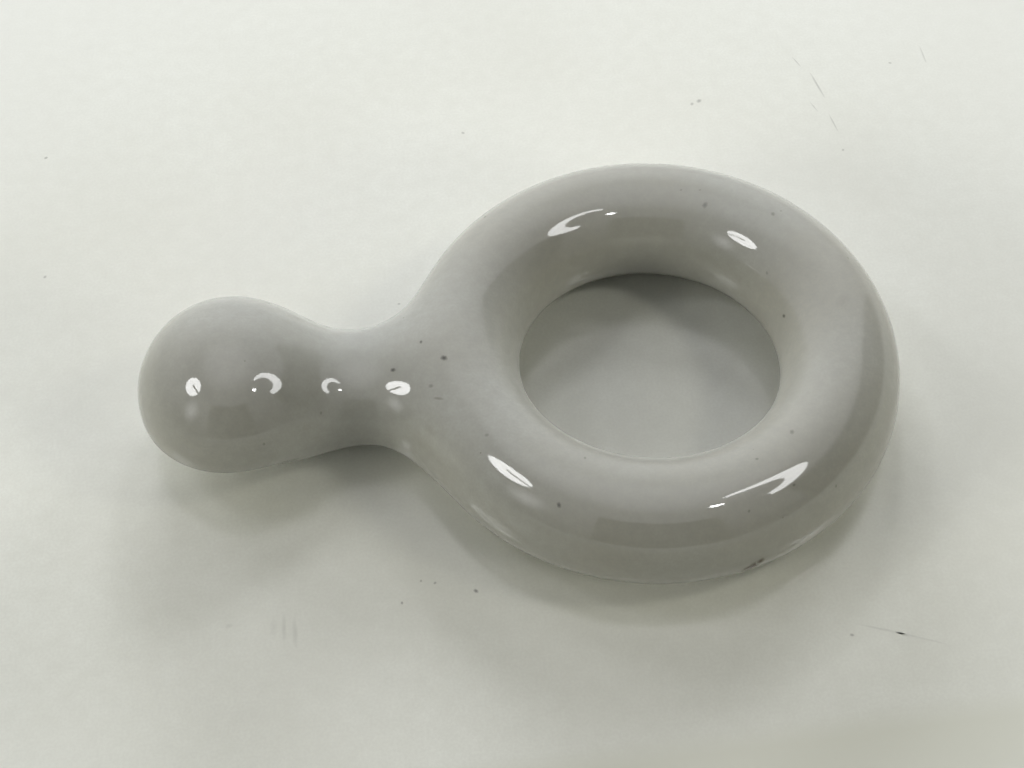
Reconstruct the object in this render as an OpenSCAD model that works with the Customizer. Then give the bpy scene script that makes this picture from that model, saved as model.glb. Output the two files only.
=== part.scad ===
// Chopstick rest: a porcelain ring with a short waisted neck and a round bulb.
// Two clay bodies, luted together at the neck, under one coat of clear glaze.
// The table is z = 0. Shapes are worked out round the ring's centre, with the neck and the bulb towards -X,
// and the finished bodies are shifted so that the origin lies under the middle of the whole length.

/* [Ring] */
// Diameter of the circle through the middle of the ring's tube
ring_d = 32; // [28:0.5:40]
// Width of the tube
tube_w = 9.95; // [8.5:0.05:11.5]
// Height of the tube's crest above its widest level
tube_rise = 5.8; // [4.5:0.1:7]
// Height of the tube's widest level above the table
tube_level = 3.2; // [2.6:0.1:4]
// Width that the tube would have at the table
tube_base_w = 5.9; // [4.5:0.1:7]

/* [Foot] */
// Height of the bare foot below the edge of the glaze
foot_h = 0.4; // [0.3:0.05:0.6]
// Step from the edge of the clay body in to the foot
foot_step = 0.12; // [0.1:0.01:0.3]
// Chamfer of the foot's wiped edges
foot_chamfer = 0.15; // [0.05:0.05:0.25]

/* [Neck] */
// Width of the neck's core, which the joins then fill out
neck_w = 10; // [8:0.1:12]
// Height of the core's widest level above the table
neck_level = 2.8; // [2.7:0.05:3.5]
// Height of the core's top above its widest level
neck_rise = 4.7; // [3.5:0.1:6]
// Depth of the core's underside below its widest level
neck_drop = 1.5; // [1:0.05:1.6]
// Distance from the ring's edge to the start of the core's straight stretch
neck_start = 1.05; // [0.5:0.05:1.5]
// Length of the core's straight stretch
neck_l = 7; // [6:0.1:9]
// Length of the core's rounded ends
neck_end = 6; // [5:0.1:7]

/* [Bulb] */
// Distance from the end of the neck's straight stretch to the bulb's middle
bulb_step = 6.15; // [5:0.05:8]
// Length of the bulb
bulb_l = 15.5; // [13:0.1:18]
// Width of the bulb
bulb_w = 16.15; // [13:0.05:18]
// Height of the bulb's widest level above the table
bulb_level = 4.2; // [4:0.05:4.8]
// Height of the bulb's top above its widest level
bulb_rise = 7.55; // [6:0.05:9]
// Depth of the bulb's underside below its widest level
bulb_drop = 2.35; // [2:0.05:2.6]

/* [Joins] */
// Reach of the smooth join between the ring and the neck
ring_join = 7.75; // [6:0.05:9]
// Reach of the smooth join between the neck and the bulb
bulb_join = 7; // [5:0.1:8]
// Distance from the ring's edge to the face where the two bodies are luted together
lute_step = 3; // [2.5:0.1:3.5]

/* [Glaze] */
// Thickness of the glaze
glaze_t = 0.3; // [0.15:0.05:0.4]

/* [Facets] */
// Facets round the ring
ring_steps = 60; // [48:4:72]
// Facets over the tube, between its two widest points
upper_steps = 14; // [10:2:18]
// Facets under the tube, from a widest point to the foot
lower_steps = 3; // [2:1:5]
// Facets round the ring that the join takes up
join_steps = 10; // [6:2:12]
// Rows of facets between the ring and the lute
flare_steps = 5; // [4:1:7]
// Rows of facets from the lute to the tip of the bulb
handle_steps = 20; // [14:1:26]

/* [Hidden] */

// Places worked out from the sizes
ring_r = ring_d / 2;
ring_edge = ring_r + tube_w / 2;
neck_from = ring_edge + neck_start;
neck_to = neck_from + neck_l;
bulb_at = neck_to + bulb_step;
lute_at = ring_edge + lute_step;
tube_drop = tube_level / sqrt(1 - pow(tube_base_w / tube_w, 2));

// Length over which a slope is measured, largest move at once, and how near a point comes to the surface
probe = 0.01;
stride = 1.5;
touch = 0.0001;
// Most moves that bring a point to the surface
moves = 12;
// Height of the foot's root inside the clay body
foot_root = 0.5;
// Facets round the foot
foot_fn = 180;

// Distance to an egg-shaped surface, exact on it: u is the offset from the middle, h are the half sizes
function egg(u, h) =
    let (q = [for (i = [0 : len(u) - 1]) u[i] / h[i]], r = norm(q))
    r * (r - 1) / norm([for (i = [0 : len(u) - 1]) q[i] / h[i]]);

// Half height above or below the widest level
function half(dz, rise, drop) = dz >= 0 ? rise : drop;

// Lower of two distances, with a fillet of the reach k where they are about equal
function join(a, b, k) =
    let (s = max(k - abs(a - b), 0) / k)
    min(a, b) - s * s * s * k / 6;

// Distance from the point p to the tube, to the neck's core, to the bulb and to the whole surface
function tube_field(p) =
    let (dz = p.z - tube_level)
    egg([norm([p.x, p.y]) - ring_r, dz], [tube_w / 2, half(dz, tube_rise, tube_drop)]);

function neck_field(p) =
    let (dz = p.z - neck_level, past = max(neck_from + p.x, -p.x - neck_to, 0))
    egg([past, p.y, dz], [neck_end, neck_w / 2, half(dz, neck_rise, neck_drop)]);

function bulb_field(p) =
    let (dz = p.z - bulb_level)
    egg([p.x + bulb_at, p.y, dz], [bulb_l / 2, bulb_w / 2, half(dz, bulb_rise, bulb_drop)]);

function field(p) = join(tube_field(p), join(neck_field(p), bulb_field(p), bulb_join), ring_join);

// Slope of the field along the axes that are free, which are 1 in the list
function slope(p, free) =
    let (f = field(p))
    [for (i = [0 : 2]) free[i] == 0 ? 0 : (field([for (k = [0 : 2]) p[k] + (k == i ? probe : 0)]) - f) / probe];

// Moves a point along its free axes until it lies on the surface
function settle(p, free, n = moves) =
    let (f = field(p))
    n == 0 || abs(f) < touch ? p :
    let (g = slope(p, free), d = f / (g * g) * g, l = norm(d))
    settle(p - d * min(1, stride / l), free, n - 1);

// Moves a point of the surface in by the glaze, along its free axes
function inset(p, free) = let (g = slope(p, free), full = slope(p, FREE)) p - glaze_t * norm(full) / (g * g) * g;

// Axes that are free: all, those of a level plane and those of a plane across the handle
FREE = [1, 1, 1];
LEVEL = [1, 1, 0];
ACROSS = [0, 1, 1];

// Outer half width of the tube, and that of the clay body, at the edge of the glaze
tube_drop_share = (tube_level - foot_h) / tube_drop;
glaze_edge = tube_w / 2 * sqrt(1 - pow(tube_drop_share, 2));
edge_slope = [glaze_edge / pow(tube_w / 2, 2), tube_drop_share / tube_drop];
body_edge = glaze_edge - glaze_t * norm(edge_slope) / edge_slope[0];
foot_half = body_edge - foot_step;

// Rows of the tube from the outer edge of the glaze, over the crest, to its inner edge, and the angle of each
tube_steps = upper_steps + 2 * lower_steps;
edge_angle = asin(tube_drop_share);
function row_angle(j) =
    j < lower_steps ? -edge_angle * (1 - j / lower_steps) :
    j > tube_steps - lower_steps ? 180 + edge_angle * (1 - (tube_steps - j) / lower_steps) :
    180 * (j - lower_steps) / upper_steps;

// Point of the ring's grid before it settles, and the axes along which it may move
function tube_start(i, j) =
    let (
        turn = 360 * i / ring_steps,
        angle = row_angle(j),
        out = ring_r + tube_w / 2 * cos(angle),
        z = tube_level + half(sin(angle), tube_rise, tube_drop) * sin(angle)
    )
    [out * cos(turn), out * sin(turn), z];
function tube_free(j) = j == 0 || j == tube_steps ? LEVEL : FREE;

// The join takes up a patch of the ring's grid that faces the handle, from the foot to the crest. Its rim has
// rim_n points, and the place of each on the patch runs from -1 to 1 across and up.
rise_steps = lower_steps + upper_steps / 2;
rim_n = 2 * (join_steps + rise_steps);
function rim(k) =
    k < join_steps ? [2 * k / join_steps - 1, -1] :
    k < join_steps + rise_steps ? [1, 2 * (k - join_steps) / rise_steps - 1] :
    -rim(k - join_steps - rise_steps);
function rim_index(k) =
    let (i = (ring_steps + rim(k)[0] * join_steps) / 2, j = (rim(k)[1] + 1) / 2 * rise_steps)
    round(i) * (tube_steps + 1) + round(j);
function in_join(i, j) = abs(2 * i + 1 - ring_steps) < join_steps && j < rise_steps;
function deep_in_join(i, j) = abs(2 * i - ring_steps) < join_steps && j > 0 && j < rise_steps;

// Places of the handle's loops, from the lute to just short of the tip
tip = settle([-bulb_at - bulb_l / 2, 0, bulb_level], [1, 0, 0]);
function loop_at(n) = lute_at + (-tip.x - lute_at) * sin(90 * n / handle_steps);

// Axes along which a loop may move: the first one stays in the plane of the lute
function loop_free(n) = n == 0 ? ACROSS : FREE;

// Point of a loop across the handle before it settles
function neck_share(s) = sqrt(max(0, 1 - pow(max(s - neck_to, 0) / neck_end, 2)));
function bulb_share(s) = sqrt(max(0, 1 - pow((s - bulb_at) / (bulb_l / 2), 2)));
function loop_start(s, k) =
    let (
        turn = atan2(rim(k)[1], rim(k)[0]),
        n = neck_share(s),
        b = bulb_share(s),
        mix = min(1, max(0, (s - neck_to) / bulb_step)),
        level = neck_level + (bulb_level - neck_level) * mix,
        up = max(n * half(sin(turn), neck_rise, neck_drop), b * half(sin(turn), bulb_rise, bulb_drop))
    )
    [-s, -max(n * neck_w, b * bulb_w) / 2 * cos(turn), level + up * sin(turn)];

// Outer surface: the ring's grid, the flare's rows, the handle's loops and the tip
ring_points = [
    for (i = [0 : ring_steps - 1], j = [0 : tube_steps])
        deep_in_join(i, j) ? tube_start(i, j) : settle(tube_start(i, j), tube_free(j))
];
loops = [
    for (n = [0 : handle_steps - 1])
        [for (k = [0 : rim_n - 1]) settle(loop_start(loop_at(n), k), loop_free(n))]
];
flare_points = [
    for (m = [1 : flare_steps - 1], k = [0 : rim_n - 1])
        let (share = m / flare_steps, a = ring_points[rim_index(k)], b = loops[0][k])
        settle(a * (1 - share) + b * share, FREE)
];
loop_points = [for (loop = loops, p = loop) p];
outer_points = [each ring_points, each flare_points, each loop_points, tip];

// The same surface moved in by the glaze, which is the surface of the clay
inner_points = [
    for (i = [0 : ring_steps - 1], j = [0 : tube_steps])
        let (p = ring_points[i * (tube_steps + 1) + j])
        deep_in_join(i, j) ? p : inset(p, tube_free(j)),
    for (p = flare_points) inset(p, FREE),
    for (n = [0 : handle_steps - 1], p = loops[n]) inset(p, loop_free(n)),
    tip + [glaze_t, 0, 0]
];

// Places of the rows in the lists of points
flare_first = len(ring_points);
loop_first = flare_first + len(flare_points);
tip_index = loop_first + len(loop_points);
foot_out = [for (i = [0 : ring_steps - 1]) i * (tube_steps + 1)];
foot_in = [for (i = [0 : ring_steps - 1]) i * (tube_steps + 1) + tube_steps];
function loop_row(n) = [for (k = [0 : rim_n - 1]) loop_first + n * rim_n + k];
function flare_row(m) =
    m == 0 ? [for (k = [0 : rim_n - 1]) rim_index(k)] :
    m == flare_steps ? loop_row(0) :
    [for (k = [0 : rim_n - 1]) flare_first + (m - 1) * rim_n + k];

// Triangles between two closed rows of points, and a list of faces that face the other way
function band(a, b) = [
    for (k = [0 : len(a) - 1])
        let (next = (k + 1) % len(a))
        each [[a[k], b[k], b[next]], [a[k], b[next], a[next]]]
];
function turned(faces) = [for (f = faces) [for (k = [len(f) - 1 : -1 : 0]) f[k]]];
function moved(list, by) = [for (v = list) v + by * [for (k = v) 1]];

ring_faces = [
    for (i = [0 : ring_steps - 1], j = [0 : tube_steps - 1])
        if (!in_join(i, j))
            let (a = i * (tube_steps + 1) + j, b = (i + 1) % ring_steps * (tube_steps + 1) + j)
            each [[a, a + 1, b + 1], [a, b + 1, b]],
    for (m = [0 : flare_steps - 1]) each band(flare_row(m), flare_row(m + 1))
];
last_row = loop_row(handle_steps - 1);
handle_faces = [
    for (n = [0 : handle_steps - 2]) each band(loop_row(n), loop_row(n + 1)),
    for (k = [0 : rim_n - 1]) [last_row[k], tip_index, last_row[(k + 1) % rim_n]]
];
lute_faces = [loop_row(0)];

// Shifts a body from the ring's centre to the middle of the whole length
module in_place() {
    translate([(-tip.x - ring_edge) / 2, 0, 0]) children();
}

// Clay body of the ring, with the ring's side of the flare, cut flat at the edge of the glaze
module ring_body() {
    polyhedron(inner_points, concat(
        ring_faces,
        band(foot_in, foot_out),
        turned(lute_faces)
    ));
}

// Bare foot, turned, with its edges wiped
module foot() {
    rotate_extrude($fn = foot_fn)
        translate([ring_r, 0])
            polygon([
                [-foot_half + foot_chamfer, 0],
                [foot_half - foot_chamfer, 0],
                [foot_half, foot_chamfer],
                [foot_half, foot_h + foot_root],
                [-foot_half, foot_h + foot_root],
                [-foot_half, foot_chamfer]
            ]);
}

module ring() {
    color("ivory")
        in_place()
            union() {
                ring_body();
                foot();
            }
}

// Clay body of the neck and the bulb, from the lute to the tip
module handle() {
    color("ivory")
        in_place()
            polyhedron(inner_points, concat(handle_faces, lute_faces));
}

// Coat of glaze over both bodies, open at the foot
module glaze() {
    count = len(outer_points);
    skin = concat(ring_faces, handle_faces);
    inner_out = [for (i = foot_out) i + count];
    inner_in = [for (i = foot_in) i + count];
    color("whitesmoke")
        in_place()
            polyhedron(concat(outer_points, inner_points), concat(
                skin,
                turned(moved(skin, count)),
                band(inner_out, foot_out),
                band(foot_in, inner_in)
            ));
}

ring();
handle();
glaze();
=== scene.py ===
"""Glazed porcelain chopstick rest on a pale table. Lengths are in metres, in the part's own frame."""

import math

import bpy
import numpy as np
from mathutils import Matrix, Vector
from mathutils.bvhtree import BVHTree


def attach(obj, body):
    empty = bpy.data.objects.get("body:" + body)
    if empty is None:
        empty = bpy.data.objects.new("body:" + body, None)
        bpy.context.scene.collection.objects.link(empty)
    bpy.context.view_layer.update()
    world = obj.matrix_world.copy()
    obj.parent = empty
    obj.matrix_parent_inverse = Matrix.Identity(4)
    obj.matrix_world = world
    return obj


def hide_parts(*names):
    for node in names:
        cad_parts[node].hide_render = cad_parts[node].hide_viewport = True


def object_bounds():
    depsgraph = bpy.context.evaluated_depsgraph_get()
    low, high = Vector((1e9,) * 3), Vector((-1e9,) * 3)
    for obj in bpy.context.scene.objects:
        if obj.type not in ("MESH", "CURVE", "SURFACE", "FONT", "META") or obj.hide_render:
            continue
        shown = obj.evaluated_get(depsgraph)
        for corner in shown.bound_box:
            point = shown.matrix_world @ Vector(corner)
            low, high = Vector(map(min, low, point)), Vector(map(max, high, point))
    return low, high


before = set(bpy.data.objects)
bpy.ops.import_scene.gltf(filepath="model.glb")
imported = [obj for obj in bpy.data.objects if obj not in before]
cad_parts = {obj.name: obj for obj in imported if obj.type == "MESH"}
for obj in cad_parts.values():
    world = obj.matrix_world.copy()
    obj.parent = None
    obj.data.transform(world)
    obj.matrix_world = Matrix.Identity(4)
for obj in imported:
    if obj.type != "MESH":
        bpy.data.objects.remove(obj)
cad_box = [list(corner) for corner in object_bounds()]

MM = 0.001

# Driving sizes of the part, as in its source
RING_D = 32 * MM
TUBE_W = 9.95 * MM
TUBE_RISE = 5.8 * MM
TUBE_LEVEL = 3.2 * MM
TUBE_BASE_W = 5.9 * MM
FOOT_H = 0.4 * MM
NECK_W = 10 * MM
NECK_LEVEL = 2.8 * MM
NECK_RISE = 4.7 * MM
NECK_DROP = 1.5 * MM
NECK_START = 1.05 * MM
NECK_L = 7 * MM
NECK_END = 6 * MM
BULB_STEP = 6.15 * MM
BULB_L = 15.5 * MM
BULB_W = 16.15 * MM
BULB_LEVEL = 4.2 * MM
BULB_RISE = 7.55 * MM
BULB_DROP = 2.35 * MM
RING_JOIN = 7.75 * MM
BULB_JOIN = 7 * MM
LUTE_STEP = 3 * MM
GLAZE_T = 0.3 * MM

# Places that follow from the sizes, as distances from the ring's centre
RING_R = RING_D / 2
RING_EDGE = RING_R + TUBE_W / 2
NECK_FROM = RING_EDGE + NECK_START
NECK_TO = NECK_FROM + NECK_L
BULB_AT = NECK_TO + BULB_STEP
LUTE_AT = RING_EDGE + LUTE_STEP
TUBE_DROP = TUBE_LEVEL / math.sqrt(1 - (TUBE_BASE_W / TUBE_W) ** 2)
RING_X = cad_box[1][0] - RING_EDGE

# Facets of the glazed surface
RING_STEPS = 240
UPPER_STEPS = 56
LOWER_STEPS = 10
JOIN_STEPS = 40
FLARE_STEPS = 18
HANDLE_STEPS = 72
BEAD_STEPS = 4

# Points are moved on to the surface: step for its slope, longest move, and number of moves
PROBE = 0.001 * MM
STRIDE = 1.5 * MM
MOVES = 14


def egg(offsets, halves):
    """Distance to an egg-shaped surface, exact on it."""
    shares = [u / h for u, h in zip(offsets, halves)]
    r = np.sqrt(sum(q * q for q in shares))
    return r * (r - 1) / np.sqrt(sum((q / h) ** 2 for q, h in zip(shares, halves)))


def half(dz, rise, drop):
    """Half height of an egg: its rise above the level and its drop below."""
    return np.where(dz >= 0, rise, drop)


def join(a, b, reach):
    """The smaller of two distances, with a fillet where they are less than reach apart."""
    s = np.maximum(reach - np.abs(a - b), 0) / reach
    return np.minimum(a, b) - s**3 * reach / 6


def field(p):
    """Distance of the points p, one a row, from the glazed surface. The origin is the ring's centre."""
    x, y, z = p.T
    dz = z - TUBE_LEVEL
    tube = egg([np.hypot(x, y) - RING_R, dz], [TUBE_W / 2, half(dz, TUBE_RISE, TUBE_DROP)])
    dz = z - NECK_LEVEL
    past = np.maximum(np.maximum(NECK_FROM + x, -x - NECK_TO), 0)
    neck = egg([past, y, dz], [NECK_END, NECK_W / 2, half(dz, NECK_RISE, NECK_DROP)])
    dz = z - BULB_LEVEL
    bulb = egg([x + BULB_AT, y, dz], [BULB_L / 2, BULB_W / 2, half(dz, BULB_RISE, BULB_DROP)])
    return join(tube, join(neck, bulb, BULB_JOIN), RING_JOIN)


def slope(p):
    """Slope of the field, one row for each point."""
    steps = PROBE * np.eye(3)
    return np.stack([field(p + s) - field(p - s) for s in steps], axis=1) / (2 * PROBE)


def settle(p, free):
    """The points p moved along their free axes, which are 1 in free, until they lie on the surface."""
    p = p.copy()
    for _ in range(MOVES):
        g = slope(p) * free
        d = (field(p) / (g**2).sum(axis=1))[:, None] * g
        length = np.linalg.norm(d, axis=1, keepdims=True)
        p -= d * np.minimum(1, STRIDE / np.maximum(length, PROBE))
    return p


def inset(p, free, depth):
    """Points of the surface moved in by depth, along their free axes."""
    full = slope(p)
    g = full * free
    return p - depth * (np.linalg.norm(full, axis=1) / (g**2).sum(axis=1))[:, None] * g


# Glazed surface: the ring's grid, the rows of the flare, the loops of the handle and the tip
RISE_STEPS = LOWER_STEPS + UPPER_STEPS // 2
TUBE_STEPS = UPPER_STEPS + 2 * LOWER_STEPS
RIM_N = 2 * (JOIN_STEPS + RISE_STEPS)
EDGE_ANGLE = math.asin((TUBE_LEVEL - FOOT_H) / TUBE_DROP)


def row_angles():
    """Angle of each row of the tube, from the glaze's outer edge over the crest to its inner edge."""
    low = EDGE_ANGLE * np.linspace(-1, 0, LOWER_STEPS + 1)
    over = math.pi * np.linspace(0, 1, UPPER_STEPS + 1)
    return np.concatenate([low[:-1], over, math.pi - low[-2::-1]])


def rim():
    """Places of the join's rim on its patch of the ring's grid, from -1 to 1 across and up."""
    across = np.linspace(-1, 1, JOIN_STEPS, endpoint=False)
    up = np.linspace(-1, 1, RISE_STEPS, endpoint=False)
    first = np.stack([across, -np.ones(JOIN_STEPS)], axis=1)
    second = np.stack([np.ones(RISE_STEPS), up], axis=1)
    return np.concatenate([first, second, -first, -second])


def ring_grid():
    """First guess of the ring's points, one section after the other, and their free axes."""
    turn = np.linspace(0, 2 * math.pi, RING_STEPS, endpoint=False)[:, None]
    angle = row_angles()[None, :]
    out = RING_R + TUBE_W / 2 * np.cos(angle)
    z = TUBE_LEVEL + half(np.sin(angle), TUBE_RISE, TUBE_DROP) * np.sin(angle)
    p = np.stack([out * np.cos(turn), out * np.sin(turn), z + 0 * turn], axis=-1)
    free = np.ones_like(p)
    free[:, [0, -1], 2] = 0
    return p.reshape(-1, 3), free.reshape(-1, 3)


def handle_loops(tip_at):
    """First guess of the handle's loops, from the luted joint to just short of the tip."""
    n = np.arange(HANDLE_STEPS)
    s = (LUTE_AT + (tip_at - LUTE_AT) * np.sin(math.pi / 2 * n / HANDLE_STEPS))[:, None]
    place = rim()
    turn = np.arctan2(place[:, 1], place[:, 0])[None, :]
    neck = np.sqrt(np.maximum(0, 1 - (np.maximum(s - NECK_TO, 0) / NECK_END) ** 2))
    bulb = np.sqrt(np.maximum(0, 1 - ((s - BULB_AT) / (BULB_L / 2)) ** 2))
    mix = np.clip((s - NECK_TO) / BULB_STEP, 0, 1)
    level = NECK_LEVEL + (BULB_LEVEL - NECK_LEVEL) * mix
    dz = np.sin(turn)
    up = np.maximum(neck * half(dz, NECK_RISE, NECK_DROP), bulb * half(dz, BULB_RISE, BULB_DROP))
    wide = np.maximum(neck * NECK_W, bulb * BULB_W) / 2
    p = np.stack([-s + 0 * turn, -wide * np.cos(turn), level + up * dz], axis=-1)
    free = np.ones_like(p)
    free[0, :, 0] = 0
    return p.reshape(-1, 3), free.reshape(-1, 3)


def ring_faces():
    """Faces of the ring's grid, without the patch where the handle joins."""
    faces = []
    for i in range(RING_STEPS):
        for j in range(TUBE_STEPS):
            if abs(2 * i + 1 - RING_STEPS) < JOIN_STEPS and j < RISE_STEPS:
                continue
            a = i * (TUBE_STEPS + 1) + j
            b = (i + 1) % RING_STEPS * (TUBE_STEPS + 1) + j
            faces.append((a, b, b + 1, a + 1))
    return faces


def faces_between(low, high):
    """Faces between two closed rows of points."""
    n = len(low)
    return [(low[k], low[(k + 1) % n], high[(k + 1) % n], high[k]) for k in range(n)]


def surface():
    """Points of the glazed surface, the axes along which each may move, and its faces."""
    ring, ring_free = ring_grid()
    ring = settle(ring, ring_free)
    tip = settle(np.array([[-BULB_AT - BULB_L / 2, 0, BULB_LEVEL]]), np.array([[1.0, 0, 0]]))
    loops, loop_free = handle_loops(-tip[0, 0])
    loops = settle(loops, loop_free)
    place = rim()
    column = np.rint((RING_STEPS + place[:, 0] * JOIN_STEPS) / 2).astype(int)
    row = np.rint((place[:, 1] + 1) / 2 * RISE_STEPS).astype(int)
    on_rim = column * (TUBE_STEPS + 1) + row
    share = (np.arange(1, FLARE_STEPS) / FLARE_STEPS)[:, None, None]
    flare = (ring[on_rim][None] * (1 - share) + loops[None, :RIM_N] * share).reshape(-1, 3)
    flare = settle(flare, np.ones_like(flare))
    points = np.concatenate([ring, flare, loops, tip])
    free = np.concatenate([ring_free, np.ones_like(flare), loop_free, [[1.0, 0, 0]]])

    faces = ring_faces()
    first = len(ring)
    loop_count = FLARE_STEPS - 1 + HANDLE_STEPS
    rows = [on_rim] + [first + n * RIM_N + np.arange(RIM_N) for n in range(loop_count)]
    for low, high in zip(rows, rows[1:]):
        faces += faces_between(low, high)
    last = rows[-1]
    faces += [(last[k], last[(k + 1) % RIM_N], len(points) - 1) for k in range(RIM_N)]
    return points, free, faces


def add_mesh(name, points, faces, smooth=True):
    mesh = bpy.data.meshes.new(name)
    mesh.from_pydata([tuple(p) for p in points], [], [tuple(int(v) for v in f) for f in faces])
    mesh.validate()
    mesh.update()
    mesh.polygons.foreach_set("use_smooth", [smooth] * len(mesh.polygons))
    piece = bpy.data.objects.new(name, mesh)
    bpy.context.scene.collection.objects.link(piece)
    return piece


def glaze_coat():
    """The coat: outer skin, inner skin on the clay, and a round bead at both edges of the foot."""
    outer, free, faces = surface()
    inner = inset(outer, free, GLAZE_T)
    count = len(outer)
    points = [outer, inner]
    faces = faces + [tuple(v + count for v in face[::-1]) for face in faces]
    next_row = 2 * count
    for j, flip in ((0, False), (TUBE_STEPS, True)):
        edge = np.arange(RING_STEPS) * (TUBE_STEPS + 1) + j
        middle = (outer[edge] + inner[edge]) / 2
        reach = (outer[edge] - inner[edge]) / 2
        rows = [edge]
        for n in range(1, BEAD_STEPS):
            t = math.pi * n / BEAD_STEPS
            drop = np.array([[0, 0, math.sin(t)]]) * GLAZE_T / 2
            points.append(middle + reach * math.cos(t) - drop)
            rows.append(next_row + np.arange(RING_STEPS))
            next_row += RING_STEPS
        rows.append(edge + count)
        for a, b in zip(rows, rows[1:]):
            faces += faces_between(a, b) if flip else faces_between(b, a)
    points = np.concatenate(points)
    points[:, 0] += RING_X
    used = np.unique([v for face in faces for v in face])
    new_index = np.full(len(points), -1)
    new_index[used] = np.arange(len(used))
    return add_mesh("glaze_coat", points[used], [[new_index[v] for v in face] for face in faces])


class Nodes:
    """Node tree of a material, a lamp or the room, with short calls for the nodes that they need."""

    def __init__(self, tree):
        self.tree = tree

    def node(self, kind, **values):
        made = self.tree.nodes.new(kind)
        for name, value in values.items():
            if hasattr(made, name):
                setattr(made, name, value)
            else:
                wanted = name.replace("_", " ").lower()
                [i for i in made.inputs if i.name.lower() == wanted][0].default_value = value
        return made

    def link(self, source, target):
        self.tree.links.new(source, target)

    def math(self, operation, *values):
        made = self.node("ShaderNodeMath", operation=operation)
        for socket, value in zip(made.inputs, values):
            if isinstance(value, (int, float)):
                socket.default_value = value
            else:
                self.link(value, socket)
        return made.outputs[0]

    def stretch(self, value, low, high, to_low=0.0, to_high=1.0):
        """The value with low taken to to_low and high to to_high."""
        made = self.node("ShaderNodeMapRange", From_min=low, From_max=high, To_min=to_low, To_max=to_high)
        self.link(value, made.inputs["Value"])
        return made.outputs["Result"]


class Shader(Nodes):
    """Material with a Principled surface."""

    def __init__(self, name):
        self.material = bpy.data.materials.new(name)
        self.material.use_nodes = True
        super().__init__(self.material.node_tree)
        self.surface = self.tree.nodes["Principled BSDF"]

    def set(self, **values):
        for name, value in values.items():
            self.surface.inputs[name.replace("_", " ")].default_value = value

    def place(self):
        """The surface point in the object's own frame."""
        return self.node("ShaderNodeTexCoord").outputs["Object"]

    def noise(self, size, detail):
        made = self.node("ShaderNodeTexNoise", Scale=1 / size, Detail=detail)
        self.link(self.place(), made.inputs["Vector"])
        return made.outputs["Fac"]

    def mix(self, amount, first, second, share=1.0):
        """Colour from first to second by the amount, times the share. Each is a colour or a socket."""
        made = self.node("ShaderNodeMix", data_type="RGBA")
        self.link(self.math("MULTIPLY", amount, share), made.inputs[0])
        for value, name in ((first, "A"), (second, "B")):
            socket = [i for i in made.inputs if i.name == name and i.type == "RGBA"][0]
            if isinstance(value, list):
                socket.default_value = value
            else:
                self.link(value, socket)
        return [o for o in made.outputs if o.type == "RGBA"][0]

    def toned(self, ground, layers):
        """The ground's colour with a tone laid over it for each layer."""
        for size, detail, start, full, tone, share in layers:
            amount = self.stretch(self.noise(size, detail), start, full)
            ground = self.mix(amount, ground, tone, share)
        return ground

    def inked(self, ground):
        """The colour in the attribute ink, which fades out to the ground by the attribute depth."""
        depth = self.node("ShaderNodeAttribute", attribute_name="depth")
        ink = self.node("ShaderNodeAttribute", attribute_name="ink")
        return self.mix(depth.outputs["Fac"], ground, ink.outputs["Color"])

    def paint(self, colour):
        self.link(colour, self.surface.inputs["Base Color"])

    def add_waves(self, waves):
        """Gives the surface the waves, one laid over the other."""
        normal = None
        for size, detail, depth in waves:
            bump = self.node("ShaderNodeBump", Strength=1.0, Distance=depth)
            self.link(self.noise(size, detail), bump.inputs["Height"])
            if normal is not None:
                self.link(normal, bump.inputs["Normal"])
            normal = bump.outputs["Normal"]
        self.link(normal, self.surface.inputs["Normal"])


def rgb(red, green, blue):
    """Linear colour of an sRGB colour from 0 to 255."""
    return [*(((c / 255 + 0.055) / 1.055) ** 2.4 for c in (red, green, blue)), 1.0]


# Layers of tone: size and detail of the noise, where it starts and is full, tone, and share
GLAZE_GROUND = rgb(165, 166, 160)
GLAZE_TONES = (
    (14 * MM, 3, 0.35, 0.65, rgb(161, 160, 151), 1.0),
    (0.9 * MM, 4, 0.3, 0.7, rgb(150, 150, 142), 0.5),
    (0.22 * MM, 2, 0.35, 0.65, rgb(150, 151, 146), 0.35),
)
CLAY_GROUND = rgb(196, 188, 172)
CLAY_TONES = (
    (5 * MM, 4, 0.35, 0.7, rgb(172, 160, 140), 1.0),
    (0.25 * MM, 2, 0.3, 0.7, rgb(150, 140, 122), 0.3),
)
TABLE_GROUND = rgb(229, 231, 224)
TABLE_TONES = (
    (30 * MM, 4, 0.35, 0.7, rgb(222, 223, 215), 1.0),
    (1.5 * MM, 5, 0.3, 0.7, rgb(211, 212, 203), 0.3),
    (0.25 * MM, 2, 0.35, 0.65, rgb(212, 212, 205), 0.3),
)
# Waves of the surface: size and detail of the noise, and depth
GLAZE_WAVES = (
    (7 * MM, 2, 0.016 * MM),
    (1.1 * MM, 3, 0.0012 * MM),
)
CLAY_PORES = ((0.3 * MM, 3, 0.02 * MM),)
GLAZE_GLOSS = dict(Roughness=0.045, IOR=1.5)
CLAY_ROUGHNESS = 0.88
TABLE_ROUGHNESS = 0.12

# Dots in the glaze: distance from one to the next, and where the edge starts and ends in shares of it
DOT_SPACING = 2.2 * MM
DOT_EDGE = (0.045, 0.015)
DOT_TONE = rgb(112, 108, 96)
DOT_SHARE = 0.7
# Only some places have dots: size of a place, and the levels of its noise between which they begin
DOT_PLACES = 3 * MM
DOT_PICK = (0.6, 0.62)

# The table is shiny near the part and worn further out, and fades to a plain pale background
WORN_FROM = 32 * MM
WORN_TO = 48 * MM
WORN_SHINE = (0.5, 0.06)
FADE_FROM = 40 * MM
FADE_TO = 120 * MM
BACKGROUND = rgb(236, 238, 233)
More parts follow.
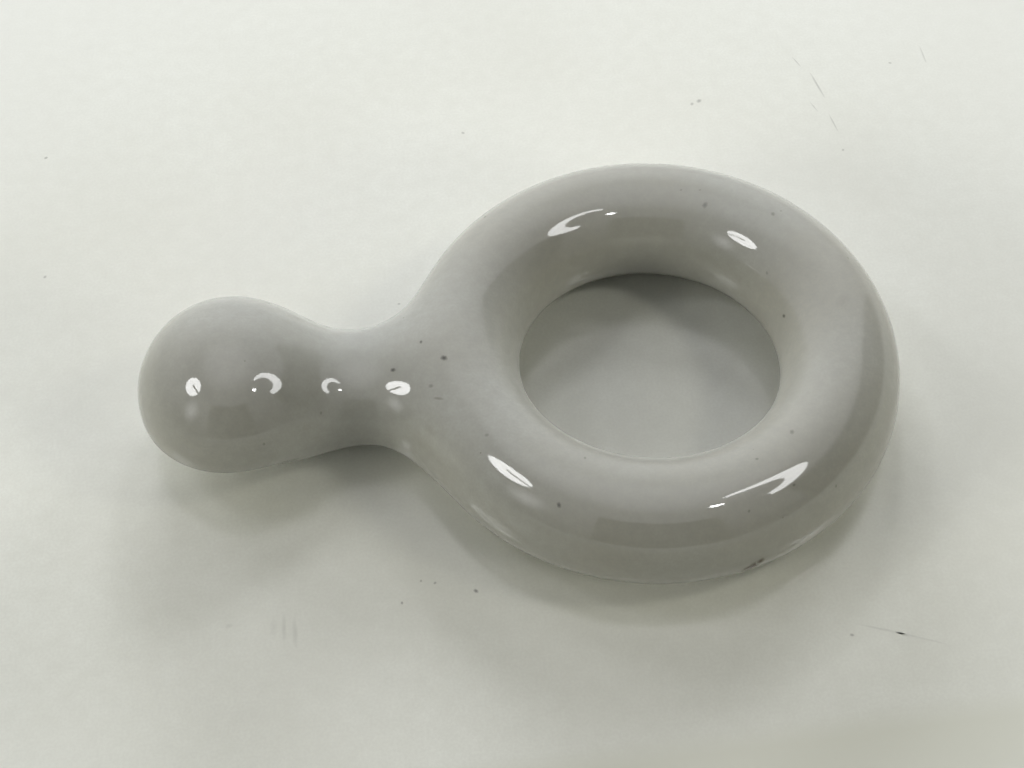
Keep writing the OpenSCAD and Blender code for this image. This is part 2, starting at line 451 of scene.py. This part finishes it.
# Painted shade: the table is darker beyond a line in front of the part, which goes through these two
# pixels
SHADE_STRIP_ENDS = ((532, 753), (1024, 688))
SHADE_STRIP_SOFT = 2 * MM
SHADE_STRIP_WIDTH = 24 * MM
SHADE_STRIP_TONE = rgb(215, 216, 205)


def glaze_colour(s):
    """Clear glaze on white clay: slow drifts of tone, a fine mottle and a scatter of very small dots."""
    toned = s.toned(GLAZE_GROUND, GLAZE_TONES)
    cells = s.node("ShaderNodeTexVoronoi", feature="F1", Scale=1 / DOT_SPACING)
    s.link(s.place(), cells.inputs["Vector"])
    near = s.stretch(cells.outputs["Distance"], *DOT_EDGE)
    pick = s.stretch(s.noise(DOT_PLACES, detail=0), *DOT_PICK)
    return s.mix(s.math("MULTIPLY", near, pick), toned, DOT_TONE, DOT_SHARE)


def glaze_material():
    s = Shader("glaze")
    s.set(**GLAZE_GLOSS)
    s.paint(glaze_colour(s))
    s.add_waves(GLAZE_WAVES)
    return s.material


def speck_material():
    """Iron specks in the glaze, which fade out to the glaze's own colour."""
    s = Shader("iron_speck")
    s.set(**GLAZE_GLOSS)
    s.paint(s.inked(glaze_colour(s)))
    s.add_waves(GLAZE_WAVES)
    return s.material


def clay_material():
    """Bare fired clay of the foot: matt, fine grained and a little stained."""
    s = Shader("biscuit")
    s.set(Roughness=CLAY_ROUGHNESS)
    s.paint(s.toned(CLAY_GROUND, CLAY_TONES))
    s.add_waves(CLAY_PORES)
    return s.material


def table_colour(s):
    """Pale lacquer with slow stains and a fine grain, with painted shade in the strip in front of the
    part.
    """
    left, right = (on_table(*pixel)[0] for pixel in SHADE_STRIP_ENDS)
    side = (right - left).normalized().cross((0, 0, 1))
    past = s.node("ShaderNodeVectorMath", operation="DOT_PRODUCT")
    s.link(s.place(), past.inputs[0])
    past.inputs[1].default_value = side
    edge = side.dot(left)
    begun = s.stretch(past.outputs["Value"], edge, edge + SHADE_STRIP_SOFT)
    ended = s.stretch(past.outputs["Value"], edge + SHADE_STRIP_WIDTH / 2, edge + SHADE_STRIP_WIDTH)
    # Painted shade: the strip in front of the part is darker than the rest of the table
    shade = s.math("SUBTRACT", begun, ended)
    return s.mix(shade, s.toned(TABLE_GROUND, TABLE_TONES), SHADE_STRIP_TONE)


def table_material():
    """The table top, which goes over to a plain pale background away from the part."""
    s = Shader("table")
    s.set(Roughness=TABLE_ROUGHNESS)
    s.paint(table_colour(s))
    away = s.node("ShaderNodeVectorMath", operation="LENGTH")
    s.link(s.place(), away.inputs[0])
    shine = s.stretch(away.outputs["Value"], WORN_FROM, WORN_TO, *WORN_SHINE)
    s.link(shine, s.surface.inputs["Specular IOR Level"])
    ray = s.node("ShaderNodeLightPath")
    seen = s.math("MAXIMUM", ray.outputs["Is Camera Ray"], ray.outputs["Is Glossy Ray"])
    fade = s.math("MULTIPLY", s.stretch(away.outputs["Value"], FADE_FROM, FADE_TO), seen)
    pale = s.node("ShaderNodeEmission", Color=BACKGROUND)
    both = s.node("ShaderNodeMixShader")
    s.link(fade, both.inputs[0])
    s.link(s.surface.outputs[0], both.inputs[1])
    s.link(pale.outputs[0], both.inputs[2])
    s.link(both.outputs[0], s.tree.nodes["Material Output"].inputs["Surface"])
    return s.material


def mark_material():
    """Scratches and crumbs on the table, which fade out to the table's own colour."""
    s = Shader("table_mark")
    s.set(Roughness=TABLE_ROUGHNESS)
    s.paint(s.inked(table_colour(s)))
    return s.material


# The handle is turned by this angle from the picture's left, seen from above
HANDLE_TURN = math.radians(3.92)
FROM_PHOTO = Matrix.Translation((RING_X, 0, 0)) @ Matrix.Rotation(-HANDLE_TURN, 4, "Z")


def from_ring(azimuth, elevation, distance):
    """Place seen from the ring's centre. Azimuth 0 is the picture's right, 90 away from the camera."""
    a, e = math.radians(azimuth), math.radians(elevation)
    flat = math.cos(e)
    return FROM_PHOTO @ (distance * Vector((math.cos(a) * flat, math.sin(a) * flat, math.sin(e))))


# Camera: the place and the turn that put the part where the photograph has it
CAMERA_AT = Vector((-11.707, -85.21, 115.462)) * MM
CAMERA_PITCH = math.radians(53.38)
CAMERA_ROLL = math.radians(1.61)
IMAGE_W = 1024
IMAGE_H = 768
FOCAL_PIXELS = 1658
SENSOR_W = 36


def add_camera():
    e, roll = CAMERA_PITCH, CAMERA_ROLL
    forward = Vector((0, math.cos(e), -math.sin(e)))
    right = Vector((1, 0, 0))
    down = forward.cross(right)
    turned_right = math.cos(roll) * right + math.sin(roll) * down
    turned_down = -math.sin(roll) * right + math.cos(roll) * down
    axes = Matrix((turned_right, -turned_down, -forward)).transposed().to_4x4()
    data = bpy.data.cameras.new("camera")
    data.sensor_width = SENSOR_W
    data.lens = FOCAL_PIXELS * SENSOR_W / IMAGE_W
    data.clip_start = MM
    camera = bpy.data.objects.new("camera", data)
    camera.matrix_world = FROM_PHOTO @ Matrix.Translation(CAMERA_AT) @ axes
    bpy.context.scene.collection.objects.link(camera)
    bpy.context.scene.camera = camera
    return camera


camera = add_camera()


def seen_at(column, row):
    """Camera's place and the direction of that pixel of the photograph, in the part's frame."""
    turn = camera.matrix_world.to_3x3()
    ray = turn @ Vector((column - IMAGE_W / 2, IMAGE_H / 2 - row, -FOCAL_PIXELS))
    return camera.matrix_world.translation, ray.normalized()


# The part
clay = clay_material()
for node in ("ring", "handle"):
    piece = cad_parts[node]
    piece.data.materials.clear()
    piece.data.materials.append(clay)
coat = glaze_coat()
coat.data.materials.append(glaze_material())
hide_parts("glaze")
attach(coat, "root")

# Iron specks: pixel of the photograph, width across in millimetres, and how dark each is from 0 to 1
SPECKS = [
    (444, 358, 0.42, 1.0),
    (393, 370, 0.32, 1.0),
    (421, 342, 0.23, 0.8),
    (431, 386, 0.3, 0.4),
    (705, 205, 0.42, 0.6),
    (700, 190, 0.18, 0.3),
    (681, 190, 0.18, 0.35),
    (485, 217, 0.24, 0.6),
    (773, 214, 0.34, 0.45),
    (781, 211, 0.18, 0.3),
    (767, 273, 0.22, 0.3),
    (784, 316, 0.3, 0.7),
    (848, 258, 0.2, 0.3),
    (559, 505, 0.32, 0.85),
    (792, 432, 0.34, 0.45),
    (836, 486, 0.2, 0.4),
    (794, 485, 0.2, 0.5),
    (757, 459, 0.2, 0.45),
    (749, 511, 0.2, 0.4),
    (585, 458, 0.2, 0.4),
    (487, 435, 0.26, 0.35),
    (264, 444, 0.2, 0.35),
    (321, 413, 0.2, 0.35),
    (268, 303, 0.2, 0.4),
    (843, 300, 1.0, 0.1),
]
# Brown blemish of two strokes, and a brownish streak: pixels of both ends, width and how dark
BLEMISH = [
    (749, 568, 755, 565, 1.0, 1.0),
    (759, 562, 762, 560, 0.5, 0.9),
    (435, 398, 442, 399, 0.22, 0.4),
]
# Crumbs on the table, in the same values
CRUMBS = [
    (46, 158, 0.26, 0.5),
    (45, 277, 0.24, 0.4),
    (463, 133, 0.26, 0.45),
    (399, 304, 0.2, 0.4),
    (692, 104, 0.3, 0.4),
    (699, 101, 0.4, 0.5),
    (890, 63, 0.22, 0.35),
    (843, 150, 0.22, 0.35),
    (402, 603, 0.2, 0.6),
    (476, 591, 0.3, 0.75),
    (421, 581, 0.18, 0.45),
    (435, 583, 0.2, 0.5),
    (852, 635, 0.24, 0.5),
    (229, 626, 0.4, 0.14),
]
# Scratches on the table: pixels of both ends, width in millimetres, and how dark
SCRATCHES = [
    (809, 71, 826, 100, 0.14, 0.3),
    (829, 114, 838, 132, 0.12, 0.25),
    (810, 102, 818, 112, 0.1, 0.2),
    (793, 58, 800, 66, 0.12, 0.25),
    (920, 48, 926, 62, 0.14, 0.15),
    (862, 625, 900, 633, 0.2, 0.16),
    (900, 633, 942, 643, 0.16, 0.12),
    (284, 616, 284, 640, 0.34, 0.14),
    (295, 617, 295, 648, 0.34, 0.14),
    (273, 622, 274, 634, 0.5, 0.08),
]
IRON = rgb(46, 44, 36)
RUST = rgb(66, 52, 34)
DIRT = rgb(70, 70, 60)
PATCH_SIDES = 14
PATCH_RINGS = 4
PATCH_LIFT = 0.012 * MM
# The soft edge of a patch goes this much beyond its dark middle, and darkness falls with this power
PATCH_SOFT = 1.5
PATCH_FALL = 1.5
# The outline of a patch is uneven by these shares of its width, in that many waves round it
PATCH_WAVES = ((2, 0.16), (5, 0.08))


def on_glaze(column, row):
    """Place of the glaze behind that pixel, and the normal there."""
    start, ray = seen_at(column, row)
    return GLAZE_TREE.ray_cast(start, ray)[:2]


def on_table(column, row):
    """Place of the table behind that pixel, and the normal there."""
    start, ray = seen_at(column, row)
    return start - ray * (start.z / ray.z), Vector((0, 0, 1))


def wobble(turn, seed):
    """Uneven width of a patch in that direction."""
    waves = enumerate(PATCH_WAVES, start=1)
    return 1 + sum(share * math.sin(count * turn + n * seed) for n, (count, share) in waves)


def patch_points(middle, long_half, short_half, seed):
    """Points of a patch, ring after ring from its middle, and how far out each one is from 0 to 1."""
    points, shares = [middle], [0]
    for ring in range(1, PATCH_RINGS + 1):
        share = ring / PATCH_RINGS
        for k in range(PATCH_SIDES):
            turn = 2 * math.pi * k / PATCH_SIDES
            step = math.cos(turn) * long_half + math.sin(turn) * short_half
            points.append(middle + share * wobble(turn, seed) * step)
            shares.append(share)
    return points, shares


def patch_faces(first):
    """Faces of the patch whose middle is that point: triangles round it, then rings of quads."""
    rings = first + 1 + np.arange(PATCH_RINGS * PATCH_SIDES).reshape(PATCH_RINGS, PATCH_SIDES)
    after = np.roll(rings, -1, axis=1)
    faces = [(first, a, b) for a, b in zip(rings[0], after[0])]
    for n in range(1, PATCH_RINGS):
        faces += zip(rings[n - 1], rings[n], after[n], after[n - 1])
    return faces


def patches(name, touch, groups, material):
    """One mesh of small soft-edged patches laid on a surface. Each group is (list of marks, colour)."""
    points, faces, depth, ink = [], [], [], []
    for marks, colour in groups:
        for *ends, across, dark in marks:
            start = touch(*ends[:2])[0]
            end, normal = touch(*ends[-2:])
            is_stroke = len(ends) > 2
            side = (end - start if is_stroke else normal.orthogonal()).normalized()
            width = across / 2 * MM * PATCH_SOFT
            long_half = (width + (end - start).length / 2) * side
            short_half = width * normal.cross(side)
            added, shares = patch_points((start + end) / 2, long_half, short_half, seed=ends[0])
            faces += patch_faces(len(points))
            points += added
            depth += [dark * (1 - share**PATCH_FALL) for share in shares]
            ink += colour * len(added)
    piece = add_mesh(name, lay(np.array(points), touch), faces)
    piece.data.attributes.new("depth", "FLOAT", "POINT").data.foreach_set("value", depth)
    piece.data.attributes.new("ink", "FLOAT_COLOR", "POINT").data.foreach_set("color", ink)
    piece.data.materials.append(material)
    return piece


def lay(points, touch):
    """The points laid on the glaze or the table, and lifted a little."""
    if touch is on_table:
        return points * [1, 1, 0] + [0, 0, PATCH_LIFT]
    local = points - [RING_X, 0, 0]
    free = np.ones_like(local)
    return inset(settle(local, free), free, -PATCH_LIFT) + [RING_X, 0, 0]


GLAZE_TREE = BVHTree.FromObject(coat, bpy.context.evaluated_depsgraph_get())
specks = patches("iron_specks", on_glaze, [(SPECKS, IRON), (BLEMISH, RUST)], speck_material())
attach(specks, "root")

# The table
TABLE_HALF = 1.5
table = add_mesh(
    "table_top",
    [(x * TABLE_HALF, y * TABLE_HALF, 0) for x, y in ((-1, -1), (1, -1), (1, 1), (-1, 1))],
    [(0, 1, 2, 3)],
    smooth=False,
)
table.data.materials.append(table_material())
marks = patches("table_marks", on_table, [(CRUMBS + SCRATCHES, DIRT)], mark_material())


class Lamp(Nodes):
    """Area lamp that faces the ring's centre, seen from there at that azimuth and elevation."""

    def __init__(self, name, azimuth, elevation, distance, size, watts, colour=(1, 1, 1)):
        self.data = bpy.data.lights.new(name, "AREA")
        self.data.shape = "ELLIPSE"
        self.data.size, self.data.size_y = size
        self.data.energy = watts
        self.data.color = colour
        self.body = bpy.data.objects.new(name, self.data)
        self.body.location = from_ring(azimuth, elevation, distance)
        aim = Vector((RING_X, 0, 0)) - self.body.location
        self.body.rotation_euler = aim.to_track_quat("-Z", "Y").to_euler()
        bpy.context.scene.collection.objects.link(self.body)
        self.data.use_nodes = True
        super().__init__(self.data.node_tree)

    def places(self):
        """The place across the lamp and up it, each from -1 to 1."""
        split = self.node("ShaderNodeSeparateXYZ")
        self.link(self.node("ShaderNodeNewGeometry").outputs["Parametric"], split.inputs[0])
        return [self.math("MULTIPLY_ADD", split.outputs[i], 2.0, -1.0) for i in (0, 1)]

    def reach(self, across, up, at):
        """Distance of the two coordinates from a place on the lamp."""
        dx = self.math("SUBTRACT", across, at[0])
        dy = self.math("SUBTRACT", up, at[1])
        squares = self.math("ADD", self.math("MULTIPLY", dx, dx), self.math("MULTIPLY", dy, dy))
        return self.math("SQRT", squares)

    def lit(self, value):
        self.link(value, self.tree.nodes["Emission"].inputs["Strength"])


# Soft light, most of it low and from behind, which doesn't show in the gloss
COOL = (0.96, 0.97, 1.0)
WARM = (1.0, 0.98, 0.86)
SOFT_DISTANCE = 0.4
SOFT_ELEVATION = 18
SOFT_HEIGHT = 0.1
SOFT_SPREAD = math.radians(110)
# Name, azimuth, width, watts and colour of each lamp
SOFT_LAMPS = (
    ("soft_right", -24, 0.14, 0.15, WARM),
    ("soft_back_right", 58, 0.12, 0.21, COOL),
    ("soft_back", 98, 0.2, 0.38, COOL),
    ("soft_back_left", 136, 0.12, 0.14, COOL),
    ("soft_left", 202, 0.18, 0.19, WARM),
)
# Small lamps higher up, which give the shadows their edges
KEY_DISTANCE = 0.3
KEY_SIZE = (0.05, 0.05)
# Name, azimuth, elevation, watts and colour of each lamp
KEY_LAMPS = (
    ("key_right", 2, 43, 0.12, WARM),
    ("key_back", 84, 34, 0.17, COOL),
    ("key_back_left", 112, 43, 0.06, COOL),
    ("key_left_high", 160, 43, 0.07, COOL),
    ("key_left", 182, 34, 0.04, WARM),
)
for name, azimuth, width, watts, colour in SOFT_LAMPS:
    size = (width, SOFT_HEIGHT)
    lamp = Lamp(name, azimuth, SOFT_ELEVATION, SOFT_DISTANCE, size, watts, colour)
    lamp.data.spread = SOFT_SPREAD
    lamp.body.visible_glossy = False
for name, azimuth, elevation, watts, colour in KEY_LAMPS:
    lamp = Lamp(name, azimuth, elevation, KEY_DISTANCE, KEY_SIZE, watts, colour)
    lamp.body.visible_glossy = False

# A faint glow in the glaze, brightest in its middle
glow = Lamp("glow", azimuth=218, elevation=24, distance=0.3, size=(0.1, 0.15), watts=0.1)
fade = glow.math("SUBTRACT", 1.0, glow.reach(*glow.places(), (0.0, 0.0)))
glow.lit(glow.math("MAXIMUM", fade, 0.0))

# An open arch in the glaze: a disc less a round hole and one end
ARCH_HOLE_AT = (-0.26, 0.1)
ARCH_HOLE_R = 0.7
ARCH_FROM = -0.3
arch = Lamp("arch", azimuth=-31.7, elevation=54.5, distance=0.179, size=(0.09, 0.084), watts=0.2)
across, up = arch.places()
outside = arch.math("GREATER_THAN", arch.reach(across, up, ARCH_HOLE_AT), ARCH_HOLE_R)
arch.lit(arch.math("MULTIPLY", outside, arch.math("GREATER_THAN", across, ARCH_FROM)))

# A disc with a dark slit that comes in from one edge, and a small lamp beside the arch
SLIT_AT = 0.1
SLIT_HALF = 0.1
SLIT_FROM = -0.2
disc = Lamp("disc", azimuth=202.1, elevation=42.1, distance=0.25, size=(0.074, 0.074), watts=0.19)
across, up = disc.places()
off_slit = disc.math("ABSOLUTE", disc.math("SUBTRACT", up, SLIT_AT))
beside = disc.math("GREATER_THAN", off_slit, SLIT_HALF)
disc.lit(disc.math("MAXIMUM", beside, disc.math("LESS_THAN", across, SLIT_FROM)))
small = Lamp("small", azimuth=-56.8, elevation=57.1, distance=0.167, size=(0.013, 0.01), watts=0.01)
for lamp in (arch, disc, small):
    lamp.body.visible_diffuse = False

# The room: pale where the camera sees it, and in the gloss brighter overhead and dark behind two boards
ROOM_PALE = 0.85
ROOM_FILL = 0.025
# In the gloss it brightens from the horizon up, and the horizon is tilted by these slopes
HORIZON_SLOPES = (-0.1, 0.12)
SKY_LEVELS = (0.4, 1.65)
SKY_FULL = 0.75
# Heights between which the light overhead begins, and its level
OVERHEAD_EDGE = (0.84, 0.98)
OVERHEAD_LEVEL = 1.5
# Boards: azimuth of the middle, half the width and height, in degrees
BOARDS = (
    (3, 37, 40),
    (-92, 26, 42),
)
BOARD_LEVEL = 0.35
world = bpy.data.worlds.new("room")
world.use_nodes = True
room = Nodes(world.node_tree)
towards = room.node("ShaderNodeSeparateXYZ")
room.link(room.node("ShaderNodeTexCoord").outputs["Generated"], towards.inputs[0])
x, y, z = towards.outputs
tilted = room.math("MULTIPLY_ADD", x, HORIZON_SLOPES[0], z)
tilted = room.math("MULTIPLY_ADD", y, HORIZON_SLOPES[1], tilted)
overhead = room.stretch(z, *OVERHEAD_EDGE, 0.0, OVERHEAD_LEVEL)
sky = room.math("ADD", room.stretch(tilted, 0.0, SKY_FULL, *SKY_LEVELS), overhead)
level_part = room.math("SQRT", room.math("SUBTRACT", 1.0, room.math("MULTIPLY", z, z)))
for azimuth, half_width, top in BOARDS:
    turn = math.radians(azimuth)
    along = room.math("MULTIPLY", x, math.cos(turn))
    along = room.math("MULTIPLY_ADD", y, math.sin(turn), along)
    cosine = room.math("DIVIDE", along, level_part)
    inside = room.math("GREATER_THAN", cosine, math.cos(math.radians(half_width)))
    below = room.math("LESS_THAN", z, math.sin(math.radians(top)))
    dark = room.math("MULTIPLY", inside, below)
    sky = room.math("MULTIPLY", sky, room.math("MULTIPLY_ADD", dark, BOARD_LEVEL - 1, 1.0))
ray = room.node("ShaderNodeLightPath")
sky = room.math("MULTIPLY", ray.outputs["Is Glossy Ray"], sky)
pale = room.math("MULTIPLY_ADD", ray.outputs["Is Camera Ray"], ROOM_PALE, ROOM_FILL)
background = world.node_tree.nodes["Background"]
room.link(room.math("ADD", sky, pale), background.inputs["Strength"])
background.inputs["Color"].default_value = (1, 1, 1, 1)
bpy.context.scene.world = world

bpy.context.scene.view_settings.view_transform = "Standard"
